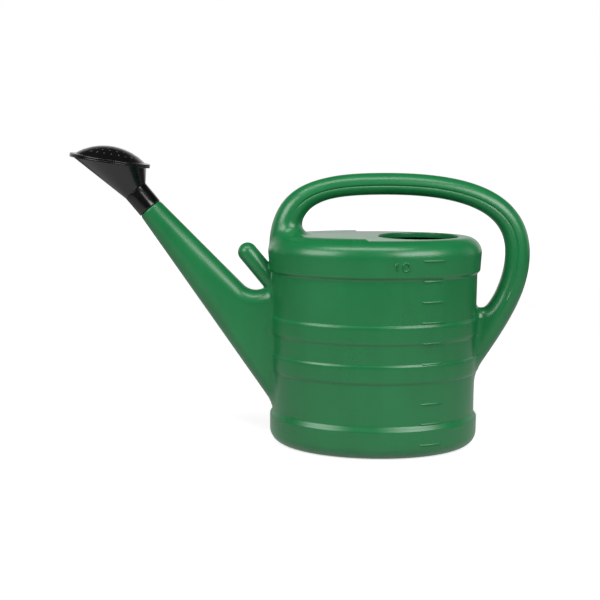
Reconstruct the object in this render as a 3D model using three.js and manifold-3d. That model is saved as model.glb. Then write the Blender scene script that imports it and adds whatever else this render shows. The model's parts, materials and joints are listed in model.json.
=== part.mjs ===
// A ten-litre garden watering can in four nodes: the green can itself, which is one hollow
// blow moulding (tank, handle, spout and parking peg), and the black sprinkler rose that
// pushes onto the end of the spout (socket, funnel and perforated face).
// Millimetres, +Z up. The origin is the centre of the tank's base, on the ground. +X points
// to the back of the handle and the spout reaches towards -X. The mould parts on y = 0.

import * as THREE from 'three';
import { mergeVertices } from 'three/addons/utils/BufferGeometryUtils.js';
import Module from 'manifold-3d';

const wasm = await Module();
wasm.setup();

// ---- Driving dimensions of the blow moulding -------------------------------------------

const WALL = 2;

// Tank: an ellipse in plan, with a foot, a rim and two bands that stand proud of its side.
// The foot and the bands are measured up from the base, the rim down from the top.
const TANK_LENGTH = 271;
const TANK_WIDTH = 182;
const TANK_HEIGHT = 279.4;
const FOOT_PROUD = 4;
const FOOT_HEIGHT = 37;
const FOOT_SHOULDER = 12.5;
const FOOT_CURVE = 1.6;
const FOOT_RADIUS = 22;
const RIM_PROUD = 5;
const RIM_DEPTH = 50;
const RIM_LEDGE = 7.5;
const RIM_RADIUS = 21;
const BAND_PROUD = 1.5;
const BAND_HEIGHT = 27;
const BAND_LEDGE = 2.5;
const LOWER_BAND = 98.5;
const UPPER_BAND = 148.5;

// Base: two shallow recesses leave a rest ring and a land along the pinched seam.
const BASE_RECESS = 3;
const BASE_RING = 10;
const BASE_LAND = 14;

// Top: a raised panel in front of the round filler opening, which has a turned-down lip.
// The panel ends in a step at the filler and slopes down to nothing at the rim.
const PANEL_RISE = 2.1;
const PANEL_EDGE = -18;
const PANEL_SLOPE = 9;
const FILLER_DIAMETER = 106;
const FILLER_CENTRE = 57;
const FILLER_LIP = 7;
const FILLER_ROUND = 1.5;

// Litre marks: short bars on the front right of the tank. The fourth would fall on the
// edge of the lower band and isn't there.
const MARK_PITCH = 26.5;
const MARK_FIRST = 21;
const MARK_COUNT = 10;
const MARK_SKIPPED = 3;
const MARK_PROUD = 1;
const MARK_HEIGHT = 2;
const MARK_START = 56;
const MARK_LENGTH = 30;

// Handle: a hollow grip from the front of the tank's top round to its back. The centre line
// is drawn through its root, crown, back and heel, and each pull is how far it runs straight
// on from one of them before it turns.
const GRIP_HALF = 14.2;
const GRIP_WALL = 3.2;
const GRIP_ROOT_HALF = 20.5;
const GRIP_HEEL_HALF = 16.5;
const GRIP_GROOVE = 1.2;
const ROOT_INSET = 16.5;
const ROOT_FILLET = 12;
const ROOT_PULL = 60;
const CROWN_PLACE = 15;
const CROWN_RISE = 68;
const CROWN_PULL_FRONT = 79;
const CROWN_PULL_BACK = 90;
const BACK_REACH = 52.3;
const BACK_DROP = 24.7;
const BACK_PULL_UP = 76;
const BACK_PULL_DOWN = 41;
const HEEL_INSET = 8;
const HEEL_DROP = 165.4;
const HEEL_ANGLE = 57;
const HEEL_PULL = 74;

// Web between the heel and the tank.
const WEB_DROP = 95.4;
const WEB_HALF = 12;
const WEB_TURN = 16;
const WEB_TURN_FROM_TANK = 8;

// Spout: a tapering tube, round at its end and slab-sided at the tank. Its upper edge ends
// in a hollow round, the saddle, and its lower edge on the shoulder of the foot.
const SPOUT_ANGLE = 50.6;
const SPOUT_REACH = 162;
const SPOUT_RISE = 35.4;
const SPOUT_END_HALF = 16.3;
const SPOUT_ROOT_HALF = 20;
const SADDLE_RADIUS = 23;
const SADDLE_FROM_TANK = 22.5;
const SADDLE_DROP = 72.9;
const SHOULDER_ROUND = 3;

// Spigot at the end of the spout, and the peg of the same size that the rose is parked on.
const SPIGOT_DIAMETER = 26;
const SPIGOT_LENGTH = 27;
const SPIGOT_CHAMFER = 1;
const PEG_REACH = 32.8;
const PEG_DROP = 22.4;

// How far a form runs on into the tank, so that the two become one wall.
const BURIED = 11;

// ---- Driving dimensions of the rose ----------------------------------------------------

const ROSE_GAP = 0.3;
const ROSE_WALL = 1.8;
const SOCKET_DIAMETER = 33;
const SOCKET_LENGTH = 29;
const SOCKET_STOP = 1.4;
const SOCKET_CHAMFER = 0.7;
const ROSE_REACH = 81.5;
const ROSE_TILT = 9;
const ROSE_RIM_DIAMETER = 105.8;
const ROSE_FLANGE = 2.3;
const ROSE_LIP = 4.6;
const FACE_RISE = 16.5;
const FACE_DOME_DIAMETER = 92;
const FACE_SKIRT = 4;
const HOLE_DIAMETER = 2;
const HOLE_PITCH = 9;
const HOLE_RINGS = 4;

// ---- Mesh tools ------------------------------------------------------------------------

const TANK_SIDES = 48;
const TANK_INNER_SIDES = 36;
const TUBE_SIDES = 20;
const BORE_SIDES = 10;
const ROUND_SIDES = 24;
const HOLE_SIDES = 6;
const DOME_STEPS = 3;
const GRIP_STEPS = 28;
const BORE_STEPS = 20;

const degrees = THREE.MathUtils.degToRad;

// The cross direction of a ring whose normal points up the can: OUTWARDS where the rings
// climb the spout or the rose, INWARDS where they run back to the tank or along the grip.
const OUTWARDS = new THREE.Vector3(0, 1, 0);
const INWARDS = new THREE.Vector3(0, -1, 0);

// A closed skin over rings of the same number of points, each ring counter-clockwise about
// the direction in which the rings follow each other. Both ends close on their centre.
function loft(rings) {
  const sides = rings[0].length;
  const middle = (ring) => ring.reduce((sum, p) => sum.add(p), new THREE.Vector3()).divideScalar(sides);
  const first = middle(rings[0]);
  const last = middle(rings[rings.length - 1]);
  const positions = [...rings.flat(), first, last].flatMap((p) => [p.x, p.y, p.z]);
  const firstIndex = rings.length * sides;
  const lastIndex = firstIndex + 1;
  const lastRing = (rings.length - 1) * sides;
  const index = [];
  for (let side = 0; side < sides; side += 1) {
    const next = (side + 1) % sides;
    index.push(firstIndex, next, side);
    index.push(lastIndex, lastRing + side, lastRing + next);
    for (let row = 0; row < rings.length - 1; row += 1) {
      const low = row * sides;
      const high = low + sides;
      index.push(low + side, low + next, high + next);
      index.push(low + side, high + next, high + side);
    }
  }
  const geometry = new THREE.BufferGeometry();
  geometry.setAttribute('position', new THREE.Float32BufferAttribute(positions, 3));
  geometry.setIndex(index);
  return geometry;
}

// The geometry as a solid for joining and cutting.
function solid(geometry) {
  const bare = geometry.clone();
  bare.deleteAttribute('normal');
  bare.deleteAttribute('uv');
  const merged = mergeVertices(bare, 1e-4);
  return new wasm.Manifold(new wasm.Mesh({
    numProp: 3,
    vertProperties: new Float32Array(merged.attributes.position.array),
    triVerts: new Uint32Array(merged.index.array),
  }));
}

function joined(solids) {
  return solids.reduce((sum, next) => sum.add(next));
}

// A named mesh from a finished solid.
function part(name, body, material) {
  const mesh = body.getMesh();
  const geometry = new THREE.BufferGeometry();
  geometry.setAttribute('position', new THREE.Float32BufferAttribute(mesh.vertProperties, 3));
  geometry.setIndex(Array.from(mesh.triVerts));
  geometry.computeVertexNormals();
  const result = new THREE.Mesh(geometry, material);
  result.name = name;
  return result;
}

// Points of an arc in a half plane, as [across, up], from one angle to another in degrees.
function arc(across, up, radius, from, to, steps) {
  return Array.from({ length: steps + 1 }, (_, i) => {
    const angle = degrees(from + (to - from) * i / steps);
    return [across + radius * Math.cos(angle), up + radius * Math.sin(angle)];
  });
}

// A ring about centre: half along normal, halfWidth along side. Where half is the larger,
// the ring is two half circles with straight flanks between them.
function slabRing(centre, normal, side, half, halfWidth, sides) {
  const flank = Math.max(half - halfWidth, 0);
  const radius = Math.min(half, halfWidth);
  return Array.from({ length: sides }, (_, i) => {
    const angle = 2 * Math.PI * (i + 0.5) / sides;
    const along = radius * Math.cos(angle) + flank * Math.sign(Math.cos(angle));
    return centre.clone()
      .addScaledVector(normal, along)
      .addScaledVector(side, halfWidth * Math.sin(angle));
  });
}

// ---- Tank ------------------------------------------------------------------------------

const TANK_END = TANK_LENGTH / 2;
const TANK_SIDE = TANK_WIDTH / 2;

// A function from [proud, height] to the tank's ring there.
const tankRing = (sides) => ([proud, height]) => Array.from({ length: sides }, (_, i) => {
  const angle = 2 * Math.PI * i / sides;
  const x = (TANK_END + proud) * Math.cos(angle);
  const y = (TANK_SIDE + proud) * Math.sin(angle);
  return new THREE.Vector3(x, y, height);
});

// One raised band as [proud, height] points, from its lower ledge to its upper one.
function bandProfile(bottom, skin) {
  const top = bottom + BAND_HEIGHT;
  return [
    [-skin, bottom],
    [BAND_PROUD - skin, bottom + BAND_LEDGE],
    [BAND_PROUD - skin, top - BAND_LEDGE],
    [-skin, top],
  ];
}

// The tank's side from base to top, moved inwards by skin.
function tankProfile(skin) {
  const shoulder = [0, 0.3, 0.65, 1]
    .map((up) => [FOOT_PROUD * (1 - up ** FOOT_CURVE) - skin, FOOT_HEIGHT + FOOT_SHOULDER * up]);
  const rim = TANK_HEIGHT - RIM_DEPTH;
  const slope = RIM_PROUD * RIM_LEDGE / (RIM_DEPTH - RIM_RADIUS);
  return [
    ...arc(FOOT_PROUD - FOOT_RADIUS, FOOT_RADIUS, FOOT_RADIUS - skin, -90, 0, 3),
    ...shoulder,
    ...bandProfile(LOWER_BAND, skin),
    ...bandProfile(UPPER_BAND, skin),
    [-skin, rim],
    [RIM_PROUD - slope - skin, rim + RIM_LEDGE],
    ...arc(RIM_PROUD - RIM_RADIUS, TANK_HEIGHT - RIM_RADIUS, RIM_RADIUS - skin, 0, 90, 4),
  ];
}

// A slab right across the tank from an outline of [x, z] points.
function acrossTank(outline) {
  const shape = new THREE.Shape(outline.map(([x, z]) => new THREE.Vector2(x, z)));
  const geometry = new THREE.ExtrudeGeometry(shape, { depth: 2 * TANK_WIDTH, bevelEnabled: false });
  geometry.rotateX(Math.PI / 2).translate(0, TANK_WIDTH, 0);
  return solid(geometry);
}

// The raised panel in front of the filler: a low plateau on the tank's flat top, kept only
// ahead of a sloping step.
function panel(skin, ring) {
  const top = TANK_HEIGHT + PANEL_RISE;
  const outer = RIM_PROUD - RIM_RADIUS - skin;
  const plateau = [
    [outer, TANK_HEIGHT - skin - BURIED / 2],
    [outer, TANK_HEIGHT - skin],
    [outer - PANEL_SLOPE, top - skin],
  ];
  const tall = solid(loft(plateau.map(ring)));
  const edge = PANEL_EDGE - skin;
  const keep = acrossTank([
    [-TANK_LENGTH, 0],
    [edge + PANEL_RISE, 0],
    [edge + PANEL_RISE, TANK_HEIGHT - skin],
    [edge, top - skin],
    [edge, 2 * top],
    [-TANK_LENGTH, 2 * top],
  ]);
  return tall.intersect(keep);
}

// One of the two recesses under the base: half of a smaller ellipse beside the land.
function baseRecess(side, grow) {
  const inset = FOOT_PROUD - FOOT_RADIUS - BASE_RING + grow;
  const disc = solid(loft([[inset, -BASE_RECESS], [inset, BASE_RECESS + grow]].map(tankRing(TANK_SIDES))));
  const keep = new THREE.BoxGeometry(2 * TANK_LENGTH, TANK_WIDTH, TANK_LENGTH);
  keep.translate(0, side * (TANK_WIDTH / 2 + BASE_LAND / 2 - grow), 0);
  return disc.intersect(solid(keep));
}

// The tank with its panel and recesses: its outside where skin is 0, or the space within.
function tank(skin) {
  const ring = tankRing(skin > 0 ? TANK_INNER_SIDES : TANK_SIDES);
  return solid(loft(tankProfile(skin).map(ring)))
    .add(panel(skin, ring))
    .subtract(baseRecess(1, skin))
    .subtract(baseRecess(-1, skin));
}

// Litre marks: the tank's own side grown a little, kept only in short level bars.
function litreMarks() {
  const grown = solid(loft(tankProfile(-MARK_PROUD).map(tankRing(TANK_SIDES))));
  const bars = [];
  for (let litre = 0; litre < MARK_COUNT; litre += 1) {
    if (litre !== MARK_SKIPPED) {
      const bar = new THREE.BoxGeometry(MARK_LENGTH, TANK_SIDE, MARK_HEIGHT);
      bar.translate(MARK_START + MARK_LENGTH / 2, -TANK_SIDE, MARK_FIRST + litre * MARK_PITCH);
      bars.push(solid(bar));
    }
  }
  return grown.intersect(joined(bars));
}

// A solid of revolution about the filler's centre from [radius, height] points.
function fillerTurned(profile) {
  const outline = profile.map(([radius, height]) => new THREE.Vector2(radius, height));
  const geometry = new THREE.LatheGeometry(outline, TANK_SIDES);
  geometry.rotateX(Math.PI / 2).translate(FILLER_CENTRE, 0, 0);
  return solid(geometry);
}

// The turned-down lip of the filler opening, up to the middle of the tank's top wall.
function fillerLip() {
  const radius = FILLER_DIAMETER / 2;
  const top = TANK_HEIGHT - WALL / 2;
  const bottom = TANK_HEIGHT - FILLER_LIP;
  return fillerTurned([
    [radius, bottom],
    [radius + WALL, bottom],
    [radius + WALL, top],
    [radius, top],
    [radius, bottom],
  ]);
}

// The cut for the filler opening, flared at the top so that its edge is rounded.
function fillerHole() {
  const radius = FILLER_DIAMETER / 2;
  const flare = radius + FILLER_ROUND;
  const below = TANK_HEIGHT - 2 * FILLER_LIP;
  const above = TANK_HEIGHT + FILLER_LIP;
  const edge = arc(flare, TANK_HEIGHT - FILLER_ROUND, FILLER_ROUND, 180, 90, 2);
  return fillerTurned([[0, below], [radius, below], ...edge, [flare, above], [0, above]]);
}

// ---- Handle ----------------------------------------------------------------------------

const point = (x, z) => new THREE.Vector3(x, 0, z);
const heelUp = point(Math.cos(degrees(HEEL_ANGLE)), Math.sin(degrees(HEEL_ANGLE)));
const heel = point(TANK_END - HEEL_INSET, TANK_HEIGHT - HEEL_DROP);
const handle = handlePath();
const handleLength = handle.getLength();

// The centre line of the grip: up from the front root, over the crown and down to the heel.
function handlePath() {
  const root = point(ROOT_INSET - TANK_END, TANK_HEIGHT - BURIED);
  const crown = point(CROWN_PLACE, TANK_HEIGHT + CROWN_RISE);
  const back = point(TANK_END + BACK_REACH, TANK_HEIGHT - BACK_DROP);
  const path = new THREE.CurvePath();
  const span = (...controls) => path.add(new THREE.CubicBezierCurve3(...controls));
  span(root, point(root.x, TANK_HEIGHT + ROOT_PULL), point(crown.x - CROWN_PULL_FRONT, crown.z), crown);
  span(crown, point(crown.x + CROWN_PULL_BACK, crown.z), point(back.x, back.z + BACK_PULL_UP), back);
  span(back, point(back.x, back.z - BACK_PULL_DOWN), heel.clone().addScaledVector(heelUp, HEEL_PULL), heel);
  return path;
}

// Half the thickness of the grip, at u from 0 at the front root to 1 at the heel.
function gripHalf(u) {
  const root = 1 - THREE.MathUtils.smoothstep(u, 0, 0.2);
  const towardsHeel = THREE.MathUtils.smoothstep(u, 0.4, 0.85);
  return GRIP_HALF + (GRIP_ROOT_HALF - GRIP_HALF) * root + (GRIP_HEEL_HALF - GRIP_HALF) * towardsHeel;
}

// How far the root spreads over the tank's top at u: a hollow quarter round.
function rootSpread(u) {
  const rise = THREE.MathUtils.clamp(u * handleLength - BURIED, 0, ROOT_FILLET);
  const left = ROOT_FILLET - rise;
  return ROOT_FILLET - Math.sqrt(ROOT_FILLET * ROOT_FILLET - left * left);
}

// Even stations along the grip, with more where the root spreads.
function gripStations(steps) {
  const even = Array.from({ length: steps + 1 }, (_, i) => i / steps);
  const spread = [0, 0.1, 0.3, 0.6, 1].map((share) => (BURIED + share * ROOT_FILLET) / handleLength);
  return [...even.filter((u) => u === 0 || u > spread[4]), ...spread].sort((a, b) => a - b);
}

// Rings along the centre line; shape gives each ring's [along, across] points at u.
function handleRings(stations, shape) {
  return stations.map((u) => {
    const centre = handle.getPointAt(u);
    const normal = INWARDS.clone().cross(handle.getTangentAt(u));
    return shape(u).map(([along, across]) => centre.clone()
      .addScaledVector(normal, along)
      .addScaledVector(INWARDS, across));
  });
}

// The outside of the grip at u: round, with a groove along each side just below the middle
// that runs out at both ends. The root's spread is all on the side of the hand.
function gripSection(u) {
  const grooveAngle = 99;
  const starts = THREE.MathUtils.smoothstep(u, 0.08, 0.14);
  const ends = THREE.MathUtils.smoothstep(u, 0.76, 0.86);
  const groove = GRIP_GROOVE * starts * (1 - ends);
  const radiusAt = (angle) => {
    const inner = (1 - Math.cos(degrees(angle))) / 2;
    return gripHalf(u) + rootSpread(u) * inner - (angle === grooveAngle ? groove : 0);
  };
  const flank = [0, 18, 36, 54, 72, 90, grooveAngle, 108, 126, 144, 162].map((angle) => [angle, radiusAt(angle)]);
  const mirrored = flank.slice(1).reverse().map(([angle, radius]) => [-angle, radius]);
  return [...flank, [180, radiusAt(180)], ...mirrored]
    .map(([angle, radius]) => [radius * Math.cos(degrees(angle)), radius * Math.sin(degrees(angle))]);
}

// The bore of the grip at u.
function boreSection(u) {
  const half = gripHalf(u) - GRIP_WALL;
  return Array.from({ length: BORE_SIDES }, (_, i) => {
    const angle = 2 * Math.PI * i / BORE_SIDES;
    return [half * Math.cos(angle), half * Math.sin(angle)];
  });
}

// The web that closes the corner between the heel and the tank: its upper edge runs level
// from the tank and turns up into the grip, its lower edge follows the middle of the heel.
function heelWeb(skin) {
  const top = TANK_HEIGHT - WEB_DROP;
  const turnX = TANK_END + WEB_TURN_FROM_TANK;
  const turn = arc(turnX, top + WEB_TURN, WEB_TURN, -90, 0, 5);
  const upper = [[TANK_END - BURIED, top], ...turn].map(([x, z]) => point(x, z));
  const level = heel.clone().addScaledVector(heelUp, (top - heel.z) / heelUp.z);
  const rings = upper.map((high, i) => {
    const low = heel.clone().lerp(level, i / (upper.length - 1));
    const normal = high.clone().sub(low).normalize();
    const half = high.distanceTo(low) / 2 - skin;
    return slabRing(high.clone().lerp(low, 0.5), normal, INWARDS, half, WEB_HALF - skin, TUBE_SIDES);
  });
  return solid(loft(rings));
}

// ---- Spout, spigot and peg -------------------------------------------------------------

const spoutOut = point(-Math.cos(degrees(SPOUT_ANGLE)), Math.sin(degrees(SPOUT_ANGLE)));
const spoutUp = point(Math.sin(degrees(SPOUT_ANGLE)), Math.cos(degrees(SPOUT_ANGLE)));
const spoutEnd = point(-TANK_END - SPOUT_REACH, TANK_HEIGHT + SPOUT_RISE);

// A point on the spout's axis, at a distance beyond its end.
function onAxis(distance) {
  return spoutEnd.clone().addScaledVector(spoutOut, distance);
}

// Pairs of points on the upper and the lower edge in side view, from the end to the tank.
// The upper edge runs straight to the saddle, which it touches, and round it. The lower one
// runs straight to the shoulder of the foot.
function spoutEdges() {
  const upperStart = spoutEnd.clone().addScaledVector(spoutUp, SPOUT_END_HALF);
  const lowerStart = spoutEnd.clone().addScaledVector(spoutUp, -SPOUT_END_HALF);
  const lowerEnd = point(-TANK_END, FOOT_HEIGHT + FOOT_SHOULDER);
  const centre = point(-TANK_END - SADDLE_FROM_TANK, TANK_HEIGHT - SADDLE_DROP + SADDLE_RADIUS);
  const toCentre = centre.clone().sub(upperStart);
  const slope = Math.atan2(-toCentre.z, toCentre.x) + Math.asin(SADDLE_RADIUS / toCentre.length());
  const touch = -90 - THREE.MathUtils.radToDeg(slope);
  const leave = -THREE.MathUtils.radToDeg(Math.acos((SADDLE_FROM_TANK - RIM_PROUD) / SADDLE_RADIUS));
  const saddle = arc(centre.x, centre.z, SADDLE_RADIUS, touch, leave, 7).map(([x, z]) => point(x, z));
  const straight = upperStart.distanceTo(saddle[0]) / lowerStart.distanceTo(lowerEnd);
  const before = [0, 0.25, 0.5, 0.75].map((share) => [
    upperStart.clone().lerp(saddle[0], share),
    lowerStart.clone().lerp(lowerEnd, share * straight),
  ]);
  const round = saddle.map((high, i) => [
    high,
    lowerStart.clone().lerp(lowerEnd, THREE.MathUtils.lerp(straight, 1, i / (saddle.length - 1))),
  ]);
  const inTank = round[round.length - 1].map((p) => p.clone().add(point(BURIED, 0)));
  return [...before, ...round, inTank];
}

// The spout from its end down into the tank, moved inwards by skin.
function spout(skin) {
  const edges = spoutEdges();
  const lowest = edges[edges.length - 1][1].distanceTo(spoutEnd);
  const rings = edges.map(([high, low]) => {
    const normal = high.clone().sub(low).normalize();
    const half = high.distanceTo(low) / 2 - skin;
    const along = low.distanceTo(spoutEnd) / lowest;
    const halfWidth = THREE.MathUtils.lerp(SPOUT_END_HALF, SPOUT_ROOT_HALF, along) - skin;
    return slabRing(high.clone().lerp(low, 0.5), normal, INWARDS, half, halfWidth, TUBE_SIDES);
  });
  return solid(loft([...spigotRings(skin), ...rings.slice(1)]));
}

// The spigot and the rounded shoulder behind it, or the bore right through both.
function spigotRings(skin) {
  const radius = SPIGOT_DIAMETER / 2 - skin;
  const full = SPOUT_END_HALF - skin;
  const tip = skin > 0
    ? [[radius, 2 * SPIGOT_LENGTH]]
    : [[radius - SPIGOT_CHAMFER, SPIGOT_LENGTH], [radius, SPIGOT_LENGTH - SPIGOT_CHAMFER]];
  const shoulder = arc(0, 0, SHOULDER_ROUND, 90, 0, 3)
    .map(([across, up]) => [full - SHOULDER_ROUND + across, up - SHOULDER_ROUND - skin]);
  return [...tip, [radius, -skin], ...shoulder].map(([half, distance]) => (
    slabRing(onAxis(distance), spoutUp, INWARDS, half, half, TUBE_SIDES)
  ));
}

// The parking peg: as thick as the spigot, parallel to the spout, with a round end.
function peg(skin) {
  const radius = SPIGOT_DIAMETER / 2 - skin;
  const end = point(-TANK_END - PEG_REACH, TANK_HEIGHT - PEG_DROP);
  const run = (PEG_REACH + BURIED) / -spoutOut.x;
  const profile = [...arc(0, 0, radius, 82, 0, 4), [radius, -run]];
  return solid(loft(profile.map(([half, distance]) => slabRing(
    end.clone().addScaledVector(spoutOut, distance), spoutUp, INWARDS, half, half, TUBE_SIDES,
  ))));
}

// ---- The can: one hollow moulding ------------------------------------------------------

function can() {
  const outside = joined([
    tank(0),
    litreMarks(),
    solid(loft(handleRings(gripStations(GRIP_STEPS), gripSection))),
    heelWeb(0),
    spout(0),
    peg(0),
  ]);
  const inside = joined([
    tank(WALL),
    solid(loft(handleRings(gripStations(BORE_STEPS), boreSection))),
    heelWeb(WALL),
    spout(WALL),
    peg(WALL),
  ]);
  return outside.subtract(inside).add(fillerLip()).subtract(fillerHole());
}

// ---- Rose ------------------------------------------------------------------------------

const roseAxis = point(Math.sin(degrees(ROSE_TILT)), Math.cos(degrees(ROSE_TILT)));
const roseAcross = point(Math.cos(degrees(ROSE_TILT)), -Math.sin(degrees(ROSE_TILT)));
const roseCentre = onAxis(ROSE_REACH);
const NECK_RADIUS = SOCKET_DIAMETER / 2;
const RIM_OUTER = ROSE_RIM_DIAMETER / 2;
const DOME_RADIUS = FACE_DOME_DIAMETER / 2;

// A ring square to the spout's axis, and one parallel to the rose's rim.
const socketRing = ([radius, distance]) => (
  slabRing(onAxis(distance), spoutUp, OUTWARDS, radius, radius, ROUND_SIDES)
);
const rimRing = ([radius, height]) => (
  slabRing(roseCentre.clone().addScaledVector(roseAxis, height), roseAcross, OUTWARDS, radius, radius, ROUND_SIDES)
);

function ringSolid(profile, ring) {
  return solid(loft(profile.map(ring)));
}

// The socket: a sleeve that slides over the spigot until its inner ledge meets the end.
function roseSocket() {
  const bore = SPIGOT_DIAMETER / 2 + ROSE_GAP;
  const ledge = SPIGOT_DIAMETER / 2 - SOCKET_STOP;
  const stop = SPIGOT_LENGTH + ROSE_GAP;
  const sleeve = ringSolid([
    [NECK_RADIUS - SOCKET_CHAMFER, ROSE_GAP],
    [NECK_RADIUS, ROSE_GAP + SOCKET_CHAMFER],
    [NECK_RADIUS, SOCKET_LENGTH],
  ], socketRing);
  return sleeve
    .subtract(ringSolid([[bore, -SOCKET_LENGTH], [bore, stop]], socketRing))
    .subtract(ringSolid([[ledge, 0], [ledge, 2 * SOCKET_LENGTH]], socketRing));
}

// The funnel: from the round socket it opens obliquely to the flat rim.
function roseFunnel() {
  const start = SOCKET_LENGTH + ROSE_GAP;
  const seam = -ROSE_GAP / 2;
  const mouth = [RIM_OUTER - ROSE_LIP, seam - ROSE_FLANGE / 2];
  const cone = solid(loft([socketRing([NECK_RADIUS, start]), rimRing(mouth)]));
  const flange = ringSolid([[RIM_OUTER, seam - ROSE_FLANGE], [RIM_OUTER, seam]], rimRing);
  return cone.add(flange).subtract(funnelHollow(ROSE_WALL));
}

// The inside of the funnel, moved inwards from its outer skin, open at both ends.
function funnelHollow(skin) {
  const mouth = [RIM_OUTER - ROSE_LIP - skin, ROSE_FLANGE / 2];
  return solid(loft([socketRing([NECK_RADIUS - skin, SOCKET_LENGTH]), rimRing(mouth)]));
}

// The dome's profile from its edge to its top, moved inwards by skin.
function domeProfile(skin) {
  const sphere = (DOME_RADIUS * DOME_RADIUS + FACE_RISE * FACE_RISE) / (2 * FACE_RISE);
  const seat = ROSE_GAP / 2 + ROSE_FLANGE;
  const edge = THREE.MathUtils.radToDeg(Math.acos(DOME_RADIUS / sphere));
  return arc(0, seat + FACE_RISE - sphere, sphere - skin, edge, 88, DOME_STEPS);
}

// Holes in rings of 6, 12, 18 and so on about one in the middle, as [across, side].
function holePlaces() {
  const places = [[0, 0]];
  for (let ring = 1; ring <= HOLE_RINGS; ring += 1) {
    const count = 6 * ring;
    for (let hole = 0; hole < count; hole += 1) {
      const angle = 2 * Math.PI * hole / count;
      places.push([ring * HOLE_PITCH * Math.cos(angle), ring * HOLE_PITCH * Math.sin(angle)]);
    }
  }
  return places;
}

// The drills for those holes, all parallel to the rose's axis.
function faceHoles() {
  const radius = HOLE_DIAMETER / 2;
  return joined(holePlaces().map(([across, side]) => {
    const foot = roseCentre.clone().addScaledVector(roseAcross, across).addScaledVector(OUTWARDS, side);
    return solid(loft([0, 2 * FACE_RISE].map((height) => (
      slabRing(foot.clone().addScaledVector(roseAxis, height), roseAcross, OUTWARDS, radius, radius, HOLE_SIDES)
    ))));
  }));
}

// The face: a perforated dome on a flange, with a skirt that locates it in the funnel.
function roseFace() {
  const seam = ROSE_GAP / 2;
  const plug = ROSE_WALL + ROSE_GAP;
  const skirt = ringSolid([[RIM_OUTER, -FACE_SKIRT], [RIM_OUTER, ROSE_FLANGE]], rimRing)
    .intersect(funnelHollow(plug));
  const outside = joined([
    ringSolid([[RIM_OUTER, seam], [RIM_OUTER, seam + ROSE_FLANGE]], rimRing),
    skirt,
    ringSolid([[DOME_RADIUS, seam], ...domeProfile(0)], rimRing),
  ]);
  const inner = DOME_RADIUS - 2 * ROSE_WALL;
  const hollow = ringSolid([[inner, 0], ...domeProfile(ROSE_WALL).filter(([radius]) => radius < inner)], rimRing);
  return outside.subtract(hollow).subtract(funnelHollow(plug + ROSE_WALL)).subtract(faceHoles());
}

// ---- Assembly --------------------------------------------------------------------------

const green = new THREE.MeshStandardMaterial({ color: 0x2a7a48, roughness: 0.42, metalness: 0 });
const black = new THREE.MeshStandardMaterial({ color: 0x1c1c1f, roughness: 0.35, metalness: 0 });

const wateringCan = new THREE.Group();
wateringCan.add(part('can_body', can(), green));
wateringCan.add(part('rose_socket', roseSocket(), black));
wateringCan.add(part('rose_funnel', roseFunnel(), black));
wateringCan.add(part('rose_face', roseFace(), black));

export default wateringCan;
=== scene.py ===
import json

import bmesh
import bpy
import numpy as np
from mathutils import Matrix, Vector


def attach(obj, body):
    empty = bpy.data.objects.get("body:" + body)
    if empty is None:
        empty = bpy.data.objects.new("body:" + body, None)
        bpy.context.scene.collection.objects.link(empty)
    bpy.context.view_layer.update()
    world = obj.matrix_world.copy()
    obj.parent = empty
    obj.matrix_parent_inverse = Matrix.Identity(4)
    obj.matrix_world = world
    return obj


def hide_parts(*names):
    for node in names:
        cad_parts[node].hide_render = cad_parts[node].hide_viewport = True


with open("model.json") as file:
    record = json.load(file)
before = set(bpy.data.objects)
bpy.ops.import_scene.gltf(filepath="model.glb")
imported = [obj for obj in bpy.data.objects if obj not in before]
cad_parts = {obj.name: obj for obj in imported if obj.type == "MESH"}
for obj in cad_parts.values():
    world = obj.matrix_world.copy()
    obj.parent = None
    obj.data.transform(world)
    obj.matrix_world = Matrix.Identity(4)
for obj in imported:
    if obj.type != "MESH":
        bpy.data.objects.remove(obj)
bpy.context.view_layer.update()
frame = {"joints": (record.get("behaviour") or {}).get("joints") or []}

# ---- Tank ------------------------------------------------------------------------------
# The body of the can: an oval tank blown in green polyethylene, with a foot, a rim and two
# flat bands that stand proud of its side. A raised panel on its top ends in a low step in
# front of the filler. Sizes are in millimetres, and go into the meshes as metres.

HALF_LENGTH = 135.5
HALF_WIDTH = 91.0
TANK_HEIGHT = 279.4
FOOT_PROUD = 4.0
FOOT_LEDGE = (38.0, 46.5)
FOOT_RADIUS = 18.5
BAND_PROUD = 1.5
BAND_LEDGE = 3.0
BANDS = ((98.8, 125.2), (148.8, 175.2))
RIM_PROUD = 5.0
RIM_LEDGE = (230.6, 236.4)
RIM_SLOPE = 1.2
RIM_RADIUS = 21.0
PANEL_RISE = 2.1
PANEL_EDGE = -18.0
PANEL_SKEW = 0.075
PANEL_RADIUS = 35.0
PANEL_TURN = 60.0
PANEL_TURN_BURIED = 4.0
PANEL_BURIED = 8.0
STEP_ROUND = 1.2
STEP_BURIED = 0.4
FILLER_RADIUS = 53.0
FILLER_CENTRE = 57.0
FILLER_SPARE = 2.0
GROWTH_STEPS = 12
GROWTH_LIMITS = (-60, 400)
TINY = 1e-9
TO_METRES = 0.001


def eased(value, start, end):
    """Goes from 0 at start to 1 at end as 3t^2 - 2t^3, where t is the share of the way."""
    share = np.clip((value - start) / (end - start), 0, 1)
    return share * share * (3 - 2 * share)


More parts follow.
